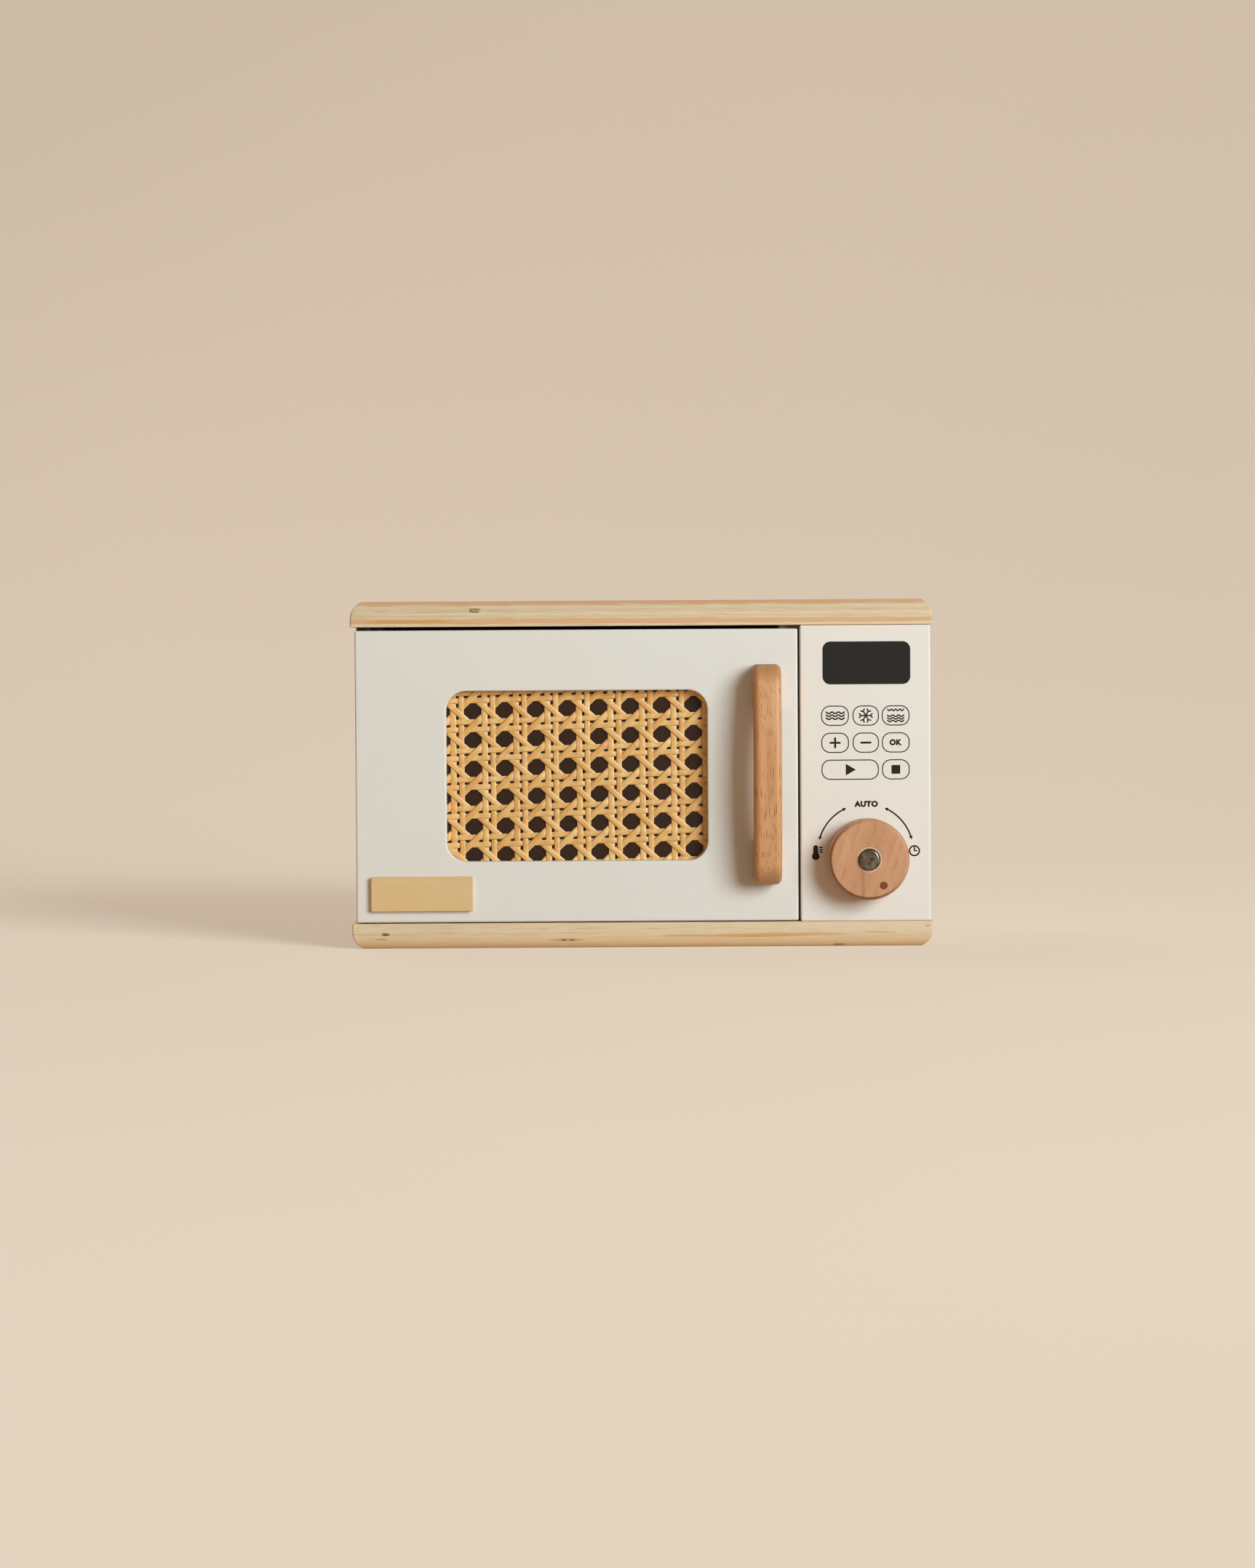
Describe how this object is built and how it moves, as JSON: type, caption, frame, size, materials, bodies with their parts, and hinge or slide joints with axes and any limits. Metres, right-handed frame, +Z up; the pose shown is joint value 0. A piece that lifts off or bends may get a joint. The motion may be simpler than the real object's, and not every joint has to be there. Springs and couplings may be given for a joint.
{
  "type": "toy microwave",
  "caption": "Wooden toy microwave with a hinged cane-window door, bow handle, turning beech knob, printed controls and a turntable.",
  "frame": {"origin": "middle of the bottom board's underside", "axes": "+X to the right seen from the front, -Y to the front, +Z up"},
  "size_m": [0.285, 0.1832, 0.1704],
  "materials": {
    "clear_wood": "satin clear oil on pale solid wood",
    "cream_paint": "satin cream lacquer on wood board",
    "cane": "peeled cane, satin",
    "smoked_acrylic": "dark smoked acrylic",
    "beech": "satin oiled beech",
    "birch_ply": "sanded birch plywood",
    "red_brown_paint": "matt red-brown paint",
    "bright_steel": "bright plated steel",
    "zinc_steel": "zinc-plated steel",
    "magnet_nickel": "nickel-plated magnet",
    "felt": "pressed felt"
  },
  "bodies": {
    "cabinet": {"top_board": "clear_wood", "bottom_board": "clear_wood", "left_side_board": "cream_paint", "right_side_board": "cream_paint", "divider_board": "cream_paint", "back_panel": "cream_paint", "control_panel": "cream_paint", "upper_hinge_pin": "zinc_steel", "lower_hinge_pin": "zinc_steel", "door_magnet": "magnet_nickel", "turntable_pivot": "beech", "turntable_washer": "felt", "top_dowels": "beech", "base_screws": "zinc_steel", "back_screws": "zinc_steel"},
    "door": {"door_panel": "cream_paint", "cane_webbing": "cane", "window_sheet": "smoked_acrylic", "cane_frame": "cream_paint", "cane_frame_screws": "zinc_steel", "door_handle": "beech", "handle_screws": "zinc_steel", "bare_plate": "birch_ply", "strike_disc": "zinc_steel"},
    "knob": {"control_knob": "beech", "knob_dot": "red_brown_paint", "knob_cap": "bright_steel", "knob_axle": "zinc_steel", "friction_washer": "felt", "rear_washer": "zinc_steel", "rear_cap": "bright_steel"},
    "turntable": {"turntable": "beech"}
  },
  "joints": [
    {"name": "door_hinge", "type": "hinge", "parent": "cabinet", "child": "door", "pos_m": [-0.1343, -0.0732, 0.0125], "axis": [0, 0, -1], "range_deg": [0, 105]},
    {"name": "knob_turn", "type": "hinge", "parent": "cabinet", "child": "knob", "pos_m": [0.1103, -0.0792, 0.0434], "axis": [0, -1, 0], "continuous": true},
    {"name": "turntable_spin", "type": "hinge", "parent": "cabinet", "child": "turntable", "pos_m": [-0.0304, 0.00335, 0.0125], "axis": [0, 0, 1], "continuous": true}
  ]
}
